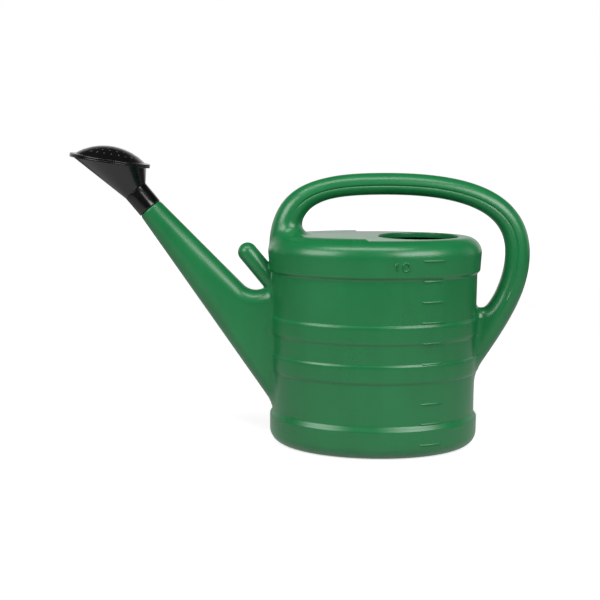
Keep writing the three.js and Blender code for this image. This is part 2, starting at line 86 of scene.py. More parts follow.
def stations(start, end, step, places=(), finer=1.0, reach=1.0):
    """Places from start to end a step apart that crowd to about finer round given places.

    The crowding is 1/step plus a bell exp(-(distance/reach)^2)/finer for each place, and
    the stations cut its running sum into equal shares."""
    slices = 6000
    line = np.linspace(start, end, slices + 1)
    crowd = np.full_like(line, 1 / step)
    for place in places:
        crowd = crowd + np.exp(-(((line - place) / reach) ** 2)) / finer
    running = np.concatenate([[0], np.cumsum((crowd[1:] + crowd[:-1]) / 2)])
    running = running * (end - start) / slices
    count = max(2, int(round(running[-1])))
    return np.interp(np.linspace(0, running[-1], count + 1), running, line)


def grid_faces(rows, columns, first, looped):
    """Four-cornered faces between neighbouring rows and columns of a grid, whose columns run
    round in a circle. A looped grid joins its last row to its first; any other closes at
    each end in a fan of triangles about one more point."""
    index = first + np.arange(rows * columns).reshape(rows, columns)
    if looped:
        index = np.vstack([index, index[:1]])
    beside = np.roll(index, -1, axis=1)
    faces = np.stack([index[:-1], beside[:-1], beside[1:], index[1:]], -1).reshape(-1, 4).tolist()
    if not looped:
        low = np.full(columns, first + rows * columns)
        faces += np.stack([beside[0], index[0], low], -1).tolist()
        faces += np.stack([index[-1], beside[-1], low + 1], -1).tolist()
    return faces


def solid(name, grids, looped=False):
    """A mesh object from closed grids of points, each rows x columns x 3 in millimetres. The
    columns of a grid that would come out inside out, by the sign of its volume, are reversed."""
    points, faces, first = [], [], 0
    for grid in grids:
        rows, columns = grid.shape[:2]
        next_row = np.roll(grid, -1, axis=0) if looped else grid[1:]
        this_row = grid if looped else grid[:-1]
        across = np.roll(this_row, -1, axis=1) - this_row
        along = next_row - this_row
        middle = this_row - grid.mean((0, 1))
        if np.einsum("rci,rci->", middle, np.cross(across, along)) < 0:
            grid = grid[:, ::-1]
        points.append(grid.reshape(-1, 3))
        if not looped:
            points.append(np.stack([grid[0].mean(0), grid[-1].mean(0)]))
        faces += grid_faces(rows, columns, first, looped)
        first += rows * columns + (0 if looped else 2)
    mesh = bpy.data.meshes.new(name)
    mesh.from_pydata(np.concatenate(points) * TO_METRES, [], faces)
    made = bpy.data.objects.new(name, mesh)
    bpy.context.scene.collection.objects.link(made)
    return made


def side_proud(height):
    """How far the side stands out at a height: an eased step for the foot, one up and one
    down for each band, an eased step and a slope for the rim."""
    out = FOOT_PROUD * (1 - eased(height, *FOOT_LEDGE))
    for low, high in BANDS:
        out = out + BAND_PROUD * eased(height, low, low + BAND_LEDGE)
        out = out - BAND_PROUD * eased(height, high - BAND_LEDGE, high)
    out = out + (RIM_PROUD - RIM_SLOPE) * eased(height, *RIM_LEDGE)
    turn = TANK_HEIGHT - RIM_RADIUS
    return out + RIM_SLOPE * np.clip((height - RIM_LEDGE[1]) / (turn - RIM_LEDGE[1]), 0, 1)


def oval(angles, out, height, scale=1.0):
    """Rings of the tank, a row each: ((half length + out) cos a, (half width + out) sin a)
    times scale, at that height."""
    out, height, scale = np.broadcast_arrays(out, height, scale)
    x = np.outer(scale * (HALF_LENGTH + out), np.cos(angles))
    y = np.outer(scale * (HALF_WIDTH + out), np.sin(angles))
    return np.stack([x, y, np.broadcast_to(height[:, None], x.shape)], -1)


def arc(across, up, radius, start, end, steps):
    """Points of an arc as two arrays, across + r cos a and up + r sin a, a in degrees."""
    angle = np.radians(np.linspace(start, end, steps + 1))
    return across + radius * np.cos(angle), up + radius * np.sin(angle)


def filler_ring(angles, radius, height):
    """Circles about the filler's centre, a row each, with the tank's own angles."""
    radius, height = np.broadcast_arrays(radius, height)
    x = FILLER_CENTRE + np.outer(radius, np.cos(angles))
    y = np.outer(radius, np.sin(angles))
    return np.stack([x, y, np.broadcast_to(height[:, None], x.shape)], -1)


def ring_blend(first, last, shares):
    """Rows between two rings: (1 - t) of the first and t of the last, for each share t."""
    t = np.asarray(shares)[:, None, None]
    return (1 - t) * first[None] + t * last[None]


def tank_angles():
    """Angles round the oval, closer together at its front, where the spout leaves it."""
    return stations(0, 2 * np.pi, step=0.036, places=[np.pi], finer=0.026, reach=0.35)[:-1]


def side_heights(step, finer, reach):
    """Heights up the side, from the foot's corner to the rim's, that crowd to the ledges."""
    bends = [*FOOT_LEDGE, *np.ravel(BANDS), *RIM_LEDGE]
    return stations(FOOT_RADIUS, TANK_HEIGHT - RIM_RADIUS, step, bends, finer, reach)


def tank_outside():
    """The tank as one grid: flat base, corner, side, rim and top, ring on ring, and the last
    rings settle on the filler's circle so that its edge is cut cleanly."""
    angles = tank_angles()
    heights = side_heights(step=4.4, finer=0.7, reach=2.2)
    corner = arc(FOOT_PROUD - FOOT_RADIUS, FOOT_RADIUS, FOOT_RADIUS, -90, 0, steps=12)
    rim = arc(RIM_PROUD - RIM_RADIUS, TANK_HEIGHT - RIM_RADIUS, RIM_RADIUS, 0, 90, steps=14)
    base = oval(angles, corner[0][0], 0.0, scale=np.linspace(0.12, 0.9, 7))
    side = [
        oval(angles, *corner),
        oval(angles, side_proud(heights[1:-1]), heights[1:-1]),
        oval(angles, *rim),
    ]
    edge = filler_ring(angles, [FILLER_RADIUS - FILLER_SPARE], [TANK_HEIGHT])
    top = ring_blend(side[-1][-1], edge[0], shares=np.linspace(0, 1, 24)[1:])
    return solid("tank", [np.concatenate([base, *side, top])])


def tank_distance(p):
    """About how far each point is outside the tank. Its place across is the growth g of the
    oval that passes through it, by Newton's method on (x/(a+g))^2 + (y/(b+g))^2 = 1; then
    the profile's rounded corner gives the distance in the plane of g and height."""
    x, y, z = p.T
    grown = np.zeros_like(x)
    for _ in range(GROWTH_STEPS):
        a, b = HALF_LENGTH + grown, HALF_WIDTH + grown
        miss = (x / a) ** 2 + (y / b) ** 2 - 1
        slope = 2 * x**2 / a**3 + 2 * y**2 / b**3 + TINY
        grown = np.clip(grown + miss / slope, *GROWTH_LIMITS)
    across = grown - (RIM_PROUD - RIM_RADIUS)
    up = z - (TANK_HEIGHT - RIM_RADIUS)
    corner = np.hypot(np.maximum(across, 0), np.maximum(up, 0))
    corner = corner + np.minimum(np.maximum(across, up), 0) - RIM_RADIUS
    tank = np.where(up > 0, corner, grown - side_proud(z))
    beyond = np.maximum(grown - panel_flat(), 0)
    over = z - (TANK_HEIGHT + PANEL_RISE - PANEL_RADIUS)
    panel = np.hypot(beyond, over) - PANEL_RADIUS
    raised = (x < PANEL_EDGE - PANEL_SKEW * y) & (over > beyond * np.tan(np.radians(PANEL_TURN)))
    return np.where(raised, np.minimum(tank, panel), tank)


def panel_flat():
    """How far out the panel's flat reaches: its edge turns with its own radius, so that it
    leaves the rim's round at the angle PANEL_TURN."""
    turn = np.radians(PANEL_TURN)
    radius = RIM_RADIUS + PANEL_RISE / (1 - np.sin(turn))
    return RIM_PROUD - RIM_RADIUS - (radius - RIM_RADIUS) * np.cos(turn)


def top_panel():
    """The raised panel: a plateau whose edge turns down into the rim's round, kept only
    where a slab right across the tank lets it stand. The slab's end is the step, rounded
    at its upper edge and slanted over the tank."""
    angles = tank_angles()
    top = TANK_HEIGHT + PANEL_RISE
    start = PANEL_TURN - PANEL_TURN_BURIED
    edge = arc(panel_flat(), top - PANEL_RADIUS, PANEL_RADIUS, start, 90, steps=14)
    under = oval(angles, [panel_flat()], [TANK_HEIGHT - PANEL_BURIED])
    flat = oval(angles, panel_flat(), top, scale=np.linspace(0.96, 0.1, 22))
    tall = solid("panel", [np.concatenate([under, oval(angles, *edge), flat])])
    turn = arc(PANEL_EDGE - STEP_ROUND, top - STEP_ROUND, STEP_ROUND, 35, 90, steps=6)
    foot = PANEL_EDGE + PANEL_RISE
    ahead, below, above, aside = -200.0, 200.0, top + 5, 150.0
    x = np.array([ahead, foot, foot, *turn[0], PANEL_EDGE - STEP_ROUND, ahead])
    z = np.array([below, below, TANK_HEIGHT - STEP_BURIED, *turn[1], above, above])
    side = np.array([-aside, aside])[:, None]
    x = x - PANEL_SKEW * side
    slab = np.stack([x, np.broadcast_to(side, x.shape), np.broadcast_to(z, x.shape)], -1)
    return tall, solid("panel_step", [slab])


# ---- Litre marks -----------------------------------------------------------------------
# Short bars on one side of the tank near its back, a litre apart, with the number of the
# top one beside it. Shallow grooves in the mould raise them, so their edges are soft. The
# fourth would fall on the edge of the lower band and isn't there.

MARK_PITCH = 26.1
MARK_FIRST = 21.0
MARK_COUNT = 10
MARK_SKIPPED = 3
MARK_START = 57.0
MARK_END = 86.0
MARK_HALF = 1.5
MARK_PROUD = 1.5
MARK_LEAN = 0.4
MARK_BLUNT = 0.995
MARK_POWER = 8
NUMBER_LEVEL = 249.2
NUMBER_HALF = 5.2
NUMBER_STROKE = 0.95
ONE_PLACE = 24.5
FLAG_ACROSS = (21.3, 24.3)
FLAG_UP = (1.6, 4.6)
FLAG_STROKE = 0.8
NOUGHT_PLACE = 35.5
NOUGHT_HALF = 3.9


def full_turn(count):
    """Angles an equal step apart, once round."""
    return np.linspace(0, 2 * np.pi, count, endpoint=False)


def raised_stroke(x, z, half, looped=False):
    """A low bar along a path over the front of the tank, half buried in it. Across the path it
    is an ellipse whose crest leans down. Unless the path comes round to its start, the bar's
    size dies away at both ends as sqrt(1 - s^8)."""
    share = np.minimum(np.abs(np.linspace(-1, 1, len(x))), MARK_BLUNT)
    taper = np.ones(len(x)) if looped else np.sqrt(1 - share**MARK_POWER)
    path = np.stack([x, z], -1)
    run = np.roll(path, -1, axis=0) - np.roll(path, 1, axis=0)
    if not looped:
        run = np.gradient(path, axis=0)
    run /= np.linalg.norm(run, axis=1, keepdims=True)
    turn = full_turn(12)
    aside = half * np.outer(taper, np.cos(turn))
    raised = MARK_PROUD * np.outer(taper, np.sin(turn))
    at_x = x[:, None] - run[:, 1:] * aside
    at_z = z[:, None] + run[:, :1] * aside - MARK_LEAN * raised
    long = HALF_LENGTH + side_proud(at_z) + raised
    wide = HALF_WIDTH + side_proud(at_z) + raised
    return np.stack([at_x, -wide * np.sqrt(1 - (at_x / long) ** 2), at_z], -1)


def litre_marks():
    """All the bars, and a one as a leaning flag and an upright, each a straight stroke."""
    along = np.linspace(MARK_START, MARK_END, 22)
    litres = [litre for litre in range(MARK_COUNT) if litre != MARK_SKIPPED]
    levels = [np.full_like(along, MARK_FIRST + litre * MARK_PITCH) for litre in litres]
    bars = [raised_stroke(along, level, MARK_HALF) for level in levels]
    down = NUMBER_LEVEL - np.linspace(-NUMBER_HALF, NUMBER_HALF, 16)
    one = raised_stroke(np.full_like(down, ONE_PLACE), down, NUMBER_STROKE)
    rising = NUMBER_LEVEL + np.linspace(*FLAG_UP, 10)
    flag = raised_stroke(np.linspace(*FLAG_ACROSS, 10), rising, FLAG_STROKE)
    return solid("marks", bars + [one, flag])


def nought():
    """A ring along the ellipse (half its width cos a, half its height sin a)."""
    turn = full_turn(40)
    x = NOUGHT_PLACE + NOUGHT_HALF * np.cos(turn)
    z = NUMBER_LEVEL + NUMBER_HALF * np.sin(turn)
    return solid("nought", [raised_stroke(x, z, NUMBER_STROKE, looped=True)], looped=True)


# ---- Handle ----------------------------------------------------------------------------
# A hollow grip blown in one with the tank. It rises flush with the front of the rim, runs
# over the top and comes down behind to its heel low on the back. A shallow groove runs along
# each of its sides, a little towards the hand.

GRIP_HALF = 14.2
GRIP_ROOT_HALF = 20.5
GRIP_HEEL_HALF = 16.5
GROOVE_ANGLE = 99.0
GROOVE_DEPTH = 1.5
GROOVE_HALF_ANGLE = 5.0
ROOT_TAPERS = (0, 0.2)
HEEL_GROWS = (0.4, 0.85)
GROOVE_COMES = (0.08, 0.14)
GROOVE_GOES = (0.76, 0.86)
ROOT = (-119.0, 268.4)
ROOT_LEAVES = (-119.0, 339.4)
ROOT_BURIED = 12.0
CROWN_COMES = (-64.0, 347.4)
CROWN = (15.0, 347.4)
CROWN_LEAVES = (105.0, 347.4)
BACK_COMES = (187.65, 330.7)
BACK = (187.65, 254.7)
BACK_LEAVES = (187.65, 213.7)
HEEL = (127.5, 114.0)
HEEL_ANGLE = np.radians(57.0)
HEEL_UP = np.array([np.cos(HEEL_ANGLE), np.sin(HEEL_ANGLE)])
HEEL_PULL = 74.0
HEEL_BURIED = 20.0
LINE_POINTS = 700
NEAR_POINTS = 20


def span(first, leave, arrive, last):
    """A cubic from first to last: the sum of (1-t)^3, 3(1-t)^2 t, 3(1-t) t^2 and t^3 times
    its four points."""
    t = np.linspace(0, 1, 241)[:, None]
    points = [np.asarray(point) for point in (first, leave, arrive, last)]
    shares = [(1 - t) ** 3, 3 * (1 - t) ** 2 * t, 3 * (1 - t) * t**2, t**3]
    return sum(share * point for share, point in zip(shares, points))


def grip_line():
    """The middle of the grip in side view: points (x, z) an equal length apart."""
    spans = [
        [np.array(ROOT) - (0, ROOT_BURIED)],
        span(ROOT, ROOT_LEAVES, CROWN_COMES, CROWN),
        span(CROWN, CROWN_LEAVES, BACK_COMES, BACK)[1:],
        span(BACK, BACK_LEAVES, HEEL + HEEL_PULL * HEEL_UP, HEEL)[1:],
        [HEEL - HEEL_BURIED * HEEL_UP],
    ]
    line = np.concatenate(spans)
    length = np.concatenate([[0], np.cumsum(np.linalg.norm(np.diff(line, axis=0), axis=1))])
    even = np.linspace(0, length[-1], LINE_POINTS)
    return np.stack([np.interp(even, length, line[:, axis]) for axis in (0, 1)], -1)


GRIP_LINE = grip_line()
GRIP_RUN = np.gradient(GRIP_LINE, axis=0)
GRIP_RUN /= np.linalg.norm(GRIP_RUN, axis=1, keepdims=True)
GRIP_OUT = np.stack([-GRIP_RUN[:, 1], GRIP_RUN[:, 0]], -1)


def grip_radius(share, angle):
    """Half the grip's thickness at a share of its length, less the groove: a bell
    exp(-(a/w)^2) about the groove's angle that runs out before the root and the heel."""
    half = GRIP_HALF + (GRIP_ROOT_HALF - GRIP_HALF) * (1 - eased(share, *ROOT_TAPERS))
    half = half + (GRIP_HEEL_HALF - GRIP_HALF) * eased(share, *HEEL_GROWS)
    away = (np.degrees(np.abs(angle)) - GROOVE_ANGLE) / GROOVE_HALF_ANGLE
    depth = GROOVE_DEPTH * eased(share, *GROOVE_COMES) * (1 - eased(share, *GROOVE_GOES))
    return half - depth * np.exp(-(away**2))


def grip_grid(shares, angles, wall=0.0):
    """Rings square to the grip's line: out cos a and sideways sin a, times the radius."""
    place = shares * (len(GRIP_LINE) - 1)
    count = np.arange(len(GRIP_LINE))
    line = np.stack([np.interp(place, count, GRIP_LINE[:, axis]) for axis in (0, 1)], -1)
    out = np.stack([np.interp(place, count, GRIP_OUT[:, axis]) for axis in (0, 1)], -1)
    radius = grip_radius(shares[:, None], angles[None]) - wall
    along = radius * np.cos(angles)
    x = line[:, :1] + along * out[:, :1]
    z = line[:, 1:] + along * out[:, 1:]
    return np.stack([x, radius * np.sin(angles), z], -1)


def grip():
    """The grip's outside, with columns crowded into the grooves and rows at the root."""
    groove = np.radians([GROOVE_ANGLE, 360 - GROOVE_ANGLE])
    angles = stations(0, 2 * np.pi, step=0.09, places=groove, finer=0.024, reach=0.14)[:-1]
    angles = np.where(angles > np.pi, angles - 2 * np.pi, angles)
    shares = stations(0, 1, step=0.0053, places=[0.03], finer=0.006, reach=0.05)
    return solid("grip", [grip_grid(shares, angles)])


def grip_distance(p):
    """Distance outside the grip: from the nearest point of its line, less its radius. The
    nearest is looked for among every twentieth point, and then between that one's two
    neighbours."""
    flat = p[:, [0, 2]]
    rough = ((flat[:, None] - GRIP_LINE[None, ::NEAR_POINTS]) ** 2).sum(-1).argmin(1)
    around = np.arange(1 - NEAR_POINTS, NEAR_POINTS)
    near = np.clip(NEAR_POINTS * rough[:, None] + around, 0, len(GRIP_LINE) - 1)
    best = ((flat[:, None] - GRIP_LINE[near]) ** 2).sum(-1).argmin(1)
    nearest = near[np.arange(len(flat)), best]
    away = flat - GRIP_LINE[nearest]
    along = (away * GRIP_OUT[nearest]).sum(-1)
    run = (away * GRIP_RUN[nearest]).sum(-1)
    step = np.linalg.norm(GRIP_LINE[1] - GRIP_LINE[0])
    inside = (nearest > 0) & (nearest < len(GRIP_LINE) - 1)
    share = (nearest + np.clip(run / step, -0.5, 0.5)) / (len(GRIP_LINE) - 1)
    past = np.where(inside, 0, run)
    angle = np.arctan2(p[:, 1], along)
    return np.sqrt(along**2 + p[:, 1] ** 2 + past**2) - grip_radius(share, angle)


# ---- Web -------------------------------------------------------------------------------
# A flat hollow web, thinner than the grip, closes the corner between the heel and the tank.
# Its rounded upper edge runs level from the tank, turns up and runs into the grip.

WEB_TOP = 184.0
WEB_HALF = 12.0
WEB_TURN = 16.0
WEB_TURN_AT = 143.5
WEB_TAIL = 8.0
WEB_BURIED = 9.0
WEB_FROM = 30.0


def flat_ring(high, low, half, columns, skin=0.0):
    """Rings round pairs of points in side view: a half circle about each, joined by straight
    flanks. The points are spread evenly along the ring's own length."""
    middle = (high + low) / 2
    reach = np.linalg.norm(high - low, axis=1)
    up = (high - low) / reach[:, None]
    radius = np.minimum(half, reach / 2) - skin
    flank = np.maximum(reach / 2 - half, 0)
    quarter = np.pi / 2 * radius
    whole = 4 * (quarter + flank)
    length = np.outer(whole, np.linspace(0, 1, columns, endpoint=False))
    part = np.abs(np.where(length > whole[:, None] / 2, whole[:, None] - length, length))
    lower = part > whole[:, None] / 4
    part = np.where(lower, whole[:, None] / 2 - part, part)
    turn = np.minimum(part / radius[:, None], np.pi / 2)
    drop = np.clip(part - quarter[:, None], 0, None)
    along = flank[:, None] - np.minimum(drop, flank[:, None]) + radius[:, None] * np.cos(turn)
    along = np.where(lower, -along, along)
    side = radius[:, None] * np.sin(turn) * np.where(length > whole[:, None] / 2, -1, 1)
    x = middle[:, :1] + up[:, :1] * along
    z = middle[:, 1:] + up[:, 1:] * along
    return np.stack([x, side, z], -1)


def web():
    """Rings between the upper edge and the middle of the heel."""
    turn = arc(WEB_TURN_AT, WEB_TOP + WEB_TURN, WEB_TURN, -90, -45, steps=8)
    level = np.linspace(HALF_LENGTH - WEB_BURIED, WEB_TURN_AT, 6)[:-1]
    high_x = np.concatenate([level, turn[0], turn[0][-1:] + WEB_TAIL])
    high_z = np.concatenate([np.full_like(level, WEB_TOP), turn[1], turn[1][-1:] + WEB_TAIL])
    share = np.linspace(0, 1, len(high_x))[:, None]
    top = HEEL + HEEL_UP * (WEB_TOP - HEEL[1]) / HEEL_UP[1]
    low = (1 - share) * HEEL + share * top
    high = np.stack([high_x, high_z], -1)
    return solid("web", [flat_ring(high, low, WEB_HALF, columns=48)])


def web_distance(p):
    """Distance outside a slab with rounded edges, sqrt(max(h - d, 0)^2 + y^2) - h, where d is
    how far inside its outline a point is and h is half its thickness."""
    x, y, z = p.T
    right, up = x - WEB_TURN_AT, z - WEB_TOP - WEB_TURN
    turned = np.where(right + up > 0, (right - up) / np.sqrt(2), np.hypot(right, up)) - WEB_TURN
    under = np.where(right < 0, WEB_TOP - z, turned)
    beside = (z - HEEL[1]) * HEEL_UP[0] - (x - HEEL[0]) * HEEL_UP[1]
    depth = np.minimum.reduce([under, beside, x - HALF_LENGTH + WEB_FROM])
    flat = np.hypot(np.maximum(WEB_HALF - depth, 0), y) - WEB_HALF
    return np.maximum(flat, z - WEB_TOP - WEB_TURN)


# ---- Spout -----------------------------------------------------------------------------
# A long tapering spout blown in one with the tank. It is round at its end and flat-sided at
# the tank, where its upper edge turns up in a hollow round, the saddle, and its lower edge
# meets the shoulder of the foot. A plain round spigot on its end takes the rose.

turning = next(joint for joint in frame["joints"] if joint["name"] == "rose_turn")
SPOUT_OUT = np.array(turning["axis"])[[0, 2]]
SPOUT_UP = np.array([SPOUT_OUT[1], -SPOUT_OUT[0]])
TURN_BEYOND_END = 29.15
SPOUT_END = np.array(turning["pos_m"])[[0, 2]] / TO_METRES - TURN_BEYOND_END * SPOUT_OUT
SPOUT_HALF = 16.3
SPOUT_ROOT_HALF = 20.0
SPOUT_OVAL = 0.85
SPOUT_OVAL_GOES = np.array([-60, 10])
SPOUT_RUNS_IN = (11, 0)
SPOUT_BURIED = -112.0
SADDLE_RADIUS = 23.0
SADDLE_LEAVES = 21.5
SADDLE_CENTRE = np.array([-158.0, 229.5])
SPOUT_FOOT = np.array([-135.5, 50.0])
SHOULDER_ROUND = 3.0
SPIGOT_RADIUS = 13.0
SPIGOT_LENGTH = 27.0
SPIGOT_ROUND = 1.0
HAIR = 0.01
FLATTEST = 0.2
FARTHEST = 4.0
UPPER_START = SPOUT_END + SPOUT_HALF * SPOUT_UP
LOWER_START = SPOUT_END - SPOUT_HALF * SPOUT_UP
LOWER_LENGTH = np.linalg.norm(SPOUT_FOOT - LOWER_START)
LOWER_RUN = (SPOUT_FOOT - LOWER_START) / LOWER_LENGTH


def settled(points, distance, steps):
    """Points moved onto the surface where a distance is 0, by Newton's method: against the
    slope, which is measured a hair away, and only so far at a time."""
    moved = points.reshape(-1, 3)
    for _ in range(steps):
        miss = distance(moved)
        slope = np.stack([(distance(moved + way) - miss) / HAIR for way in HAIR * np.eye(3)], -1)
        move = -(miss / np.maximum((slope**2).sum(-1), FLATTEST))[:, None] * slope
        reach = np.maximum(np.linalg.norm(move, axis=1, keepdims=True), TINY)
        moved = moved + move * np.minimum(1, FARTHEST / reach)
    return moved.reshape(points.shape)


def saddle_touch():
    """Where the straight upper edge touches the saddle's circle, as an angle about it."""
    to_centre = SADDLE_CENTRE - UPPER_START
    slope = np.arctan2(-to_centre[1], to_centre[0])
    slope = slope + np.arcsin(SADDLE_RADIUS / np.linalg.norm(to_centre))
    return -np.pi / 2 - slope


TOUCH = saddle_touch()
TOUCH_POINT = SADDLE_CENTRE + SADDLE_RADIUS * np.array([np.cos(TOUCH), np.sin(TOUCH)])
UPPER_RUN = (TOUCH_POINT - UPPER_START) / np.linalg.norm(TOUCH_POINT - UPPER_START)


def spout_half(x, z):
    """Half the spout's width, growing evenly from its end along its lower edge."""
    along = (x - LOWER_START[0]) * LOWER_RUN[0] + (z - LOWER_START[1]) * LOWER_RUN[1]
    share = np.clip(along / LOWER_LENGTH, 0, 1)
    return SPOUT_HALF + (SPOUT_ROOT_HALF - SPOUT_HALF) * share


def spout_grid(skin, straight_rows, round_rows, columns):
    """Rings from the spout's end to just inside the tank, between its two edges."""
    leave = -np.arccos(SADDLE_LEAVES / SADDLE_RADIUS)
    angle = np.linspace(TOUCH, leave, round_rows)
    saddle = SADDLE_CENTRE + SADDLE_RADIUS * np.stack([np.cos(angle), np.sin(angle)], -1)
    reach = np.linalg.norm(TOUCH_POINT - UPPER_START) / LOWER_LENGTH
    share = np.linspace(0, 1, straight_rows)[:, None]
    high = np.concatenate([UPPER_START + share * (TOUCH_POINT - UPPER_START), saddle[1:]])
    low_share = np.concatenate([share[:, 0] * reach, np.linspace(reach, 1, round_rows)[1:]])
    low = LOWER_START + low_share[:, None] * (SPOUT_FOOT - LOWER_START)
    high = np.concatenate([high, high[-1:] + SPOUT_RUNS_IN])
    low = np.concatenate([low, low[-1:] + SPOUT_RUNS_IN])
    middle = (high + low) / 2
    return flat_ring(high, low, spout_half(*middle.T), columns, skin)


def rings_along(start, out, up, radius, distance, columns):
    """Rings round an axis in side view, a row each: r cos a upwards and r sin a sideways, at
    a distance from the axis's start."""
    turn = full_turn(columns)
    radius, distance = np.broadcast_arrays(radius, distance)
    middle = start + distance[:, None] * out
    along = np.outer(radius, np.cos(turn))
    x = middle[:, :1] + along * up[0]
    z = middle[:, 1:] + along * up[1]
    return np.stack([x, np.outer(radius, np.sin(turn)), z], -1)


def spout_round(radius, distance, columns):
    """Rings round the spout's axis at a distance beyond its end."""
    return rings_along(SPOUT_END, SPOUT_OUT, SPOUT_UP, radius, distance, columns)


def spout():
    """The spigot, its rounded shoulder and the spout behind it as one grid."""
    columns = 100
    across, along = SPIGOT_RADIUS - SPIGOT_ROUND, SPIGOT_LENGTH - SPIGOT_ROUND
    end_round = arc(across, along, SPIGOT_ROUND, 90, 0, steps=4)
    end_face = [6.0, 9.0]
    side = np.linspace(SPIGOT_LENGTH - 3, 0.4, 8)
    shoulder = arc(SPOUT_HALF - SHOULDER_ROUND, -SHOULDER_ROUND, SHOULDER_ROUND, 90, 0, steps=6)
    rows = spout_grid(skin=0.0, straight_rows=64, round_rows=22, columns=columns)
    rings = [
        spout_round(end_face, SPIGOT_LENGTH, columns),
        spout_round(*end_round, columns),
        spout_round(SPIGOT_RADIUS, side, columns),
        spout_round([SPIGOT_RADIUS], [0.0], columns),
        spout_round(*shoulder, columns),
        settled(rows[2:-1], spout_distance, steps=6),
        rows[-1:],
    ]
    return solid("spout", [np.concatenate(rings)])


def spout_distance(p):
    """Distance outside the spout: half its width h, less, towards its edges, an ellipse
    h sqrt(1 - (1 - d/e)^2), where d is the depth below the nearer edge. The ellipse is e
    deep, which is nearly half the spout's height, and only h deep at the tank."""
    x, y, z = p.T
    above = (x - LOWER_START[0]) * -LOWER_RUN[1] + (z - LOWER_START[1]) * LOWER_RUN[0]
    under = (x - UPPER_START[0]) * UPPER_RUN[1] - (z - UPPER_START[1]) * UPPER_RUN[0]
    past = (x - TOUCH_POINT[0]) * UPPER_RUN[0] + (z - TOUCH_POINT[1]) * UPPER_RUN[1]
    under_saddle = np.hypot(x - SADDLE_CENTRE[0], z - SADDLE_CENTRE[1]) - SADDLE_RADIUS
    upper = np.where(past > 0, np.minimum(under_saddle, SADDLE_CENTRE[1] - z), under)
    half = spout_half(x, z)
    oval_share = SPOUT_OVAL * (1 - eased(x, *(TOUCH_POINT[0] + SPOUT_OVAL_GOES)))
    turn = half + oval_share * np.maximum((above + under) / 2 - half, 0)
    depth = np.minimum.reduce([above, upper, SPOUT_BURIED - x])
    return np.hypot(half * np.maximum(1 - depth / turn, 0), y) - half


# ---- Peg -------------------------------------------------------------------------------
# A blind round peg, as thick as the spigot and parallel to the spout. The rose is pushed
# onto it when the can is used without one.

PEG_END = np.array([-168.3, 257.0])
PEG_RUN = 68.0


def peg():
    """A round end and a straight side: rings of radius r sin a, then r, along the axis."""
    cap = np.radians(np.linspace(4, 90, 14))
    side = np.linspace(3, PEG_RUN, 18)
    radius = np.concatenate([SPIGOT_RADIUS * np.sin(cap), np.full_like(side, SPIGOT_RADIUS)])
    along = np.concatenate([SPIGOT_RADIUS * np.cos(cap), -side])
    return solid("peg", [rings_along(PEG_END, SPOUT_OUT, SPOUT_UP, radius, along, columns=44)])


def peg_distance(p):
    """Distance from the peg's axis, which has two ends, less its radius."""
    flat = p[:, [0, 2]] - PEG_END
    along = flat @ SPOUT_OUT
    up = flat @ SPOUT_UP
    past = np.maximum.reduce([along, -PEG_RUN - along, np.zeros_like(along)])
    return np.sqrt(up**2 + p[:, 1] ** 2 + past**2) - SPIGOT_RADIUS


# ---- The moulding as one wall ----------------------------------------------------------
# Tank, marks, grip, web, spout and peg leave the mould as a single hollow wall of satin
# green polyethylene. Where one form meets another the mould is rounded, and a fine ridge
# all round the middle shows where its two halves met.

WALL = 2.0
GRIP_WALL = 3.2
ROOT_FILLET = 3.0
ROOT_FILLET_GROWS = (-139, -112)
GRIP_FILLET = 21.0
WEB_FILLET = 9.0
SPOUT_FILLET = 8.0
PEG_FILLET = 2.8
FILLER_ROUND = 1.5
FILLER_CLEAR = 8.0
LIP_DROP = 7.0
LIP_ROUND = 1.0
FLOOR_INSET = 4.0
MOUTH_ROUND = 1.0
MOUTH_CLEAR = 4.0
MOUTH_FLARE = 0.9
GRIP_BORE_ENDS = 0.94
RECESS_DEPTH = 3.0
RECESS_LAND = 7.0
RECESS_RING = 24.0
RECESS_MIDDLE = 0.42
RECESS_POWER = 14.0
RECESS_INSETS = np.array([-3.0, -0.6, 0.0, 0.5, 1.2, 2.2, 20.0])
RECESS_HEIGHTS = np.array([-3.0, -0.6, 0.9, 2.0, 2.7, 3.0, 3.0])
JOIN_EDGES = (3.4, 2.1)
JOIN_REACH = 1.4
JOIN_LEAST = 3e-3
EVENING_TURNS = 6
EVENING_SHARE = 0.6
SHARP_FROM = 48.0
GREEN_DEEP = (0.0068, 0.138, 0.039, 1)
GREEN_PALE = (0.0096, 0.162, 0.048, 1)
GREEN_SCUFFED = (0.09, 0.26, 0.14, 1)
GREEN_ROUGHNESS = 0.25
GREEN_SKIN = 0.00012
SCUFFS_REACH = 0.016
RIDGE_EDGES = (0.0006, 0.0001)
PLASTIC_IOR = 1.5


